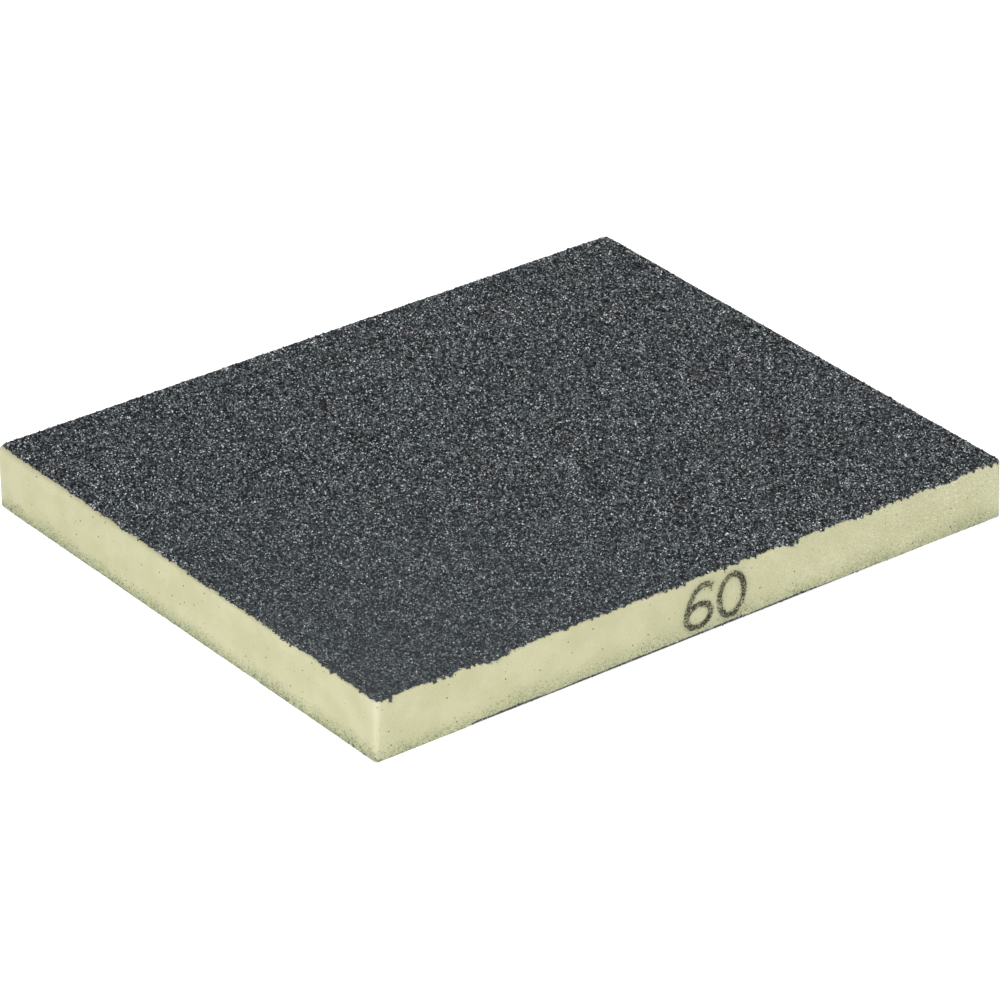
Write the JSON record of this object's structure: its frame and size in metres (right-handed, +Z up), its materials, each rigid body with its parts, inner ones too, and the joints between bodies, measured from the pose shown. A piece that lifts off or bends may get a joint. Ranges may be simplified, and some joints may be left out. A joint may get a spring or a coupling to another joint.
{
  "type": "sanding block",
  "caption": "Flat rectangular foam pad for sanding by hand, with a coarse abrasive coat bonded to its top and bottom faces and an inked grade number on one edge.",
  "frame": {"origin": "middle of the lower abrasive face, the one that the pad lies on", "axes": "+X along the pad's length, +Y across its width and away from the edge with the grade number, +Z up through its thickness"},
  "size_m": [0.125, 0.1, 0.0113],
  "materials": {
    "foam": "matt fine-celled polyurethane foam, pale yellow-cream",
    "bond_coat": "cured resin binder, dark purple-brown, satin",
    "grit_coat": "coarse angular abrasive grain in resin, slate black with small bright facets",
    "ink": "speckled stamp ink, dark olive grey, matt"
  },
  "bodies": {
    "root": {"foam_core": "foam", "top_bond_coat": "bond_coat", "top_grit_coat": "grit_coat", "bottom_bond_coat": "bond_coat", "bottom_grit_coat": "grit_coat", "grade_digit_6": "ink", "grade_digit_0": "ink"}
  },
  "joints": []
}
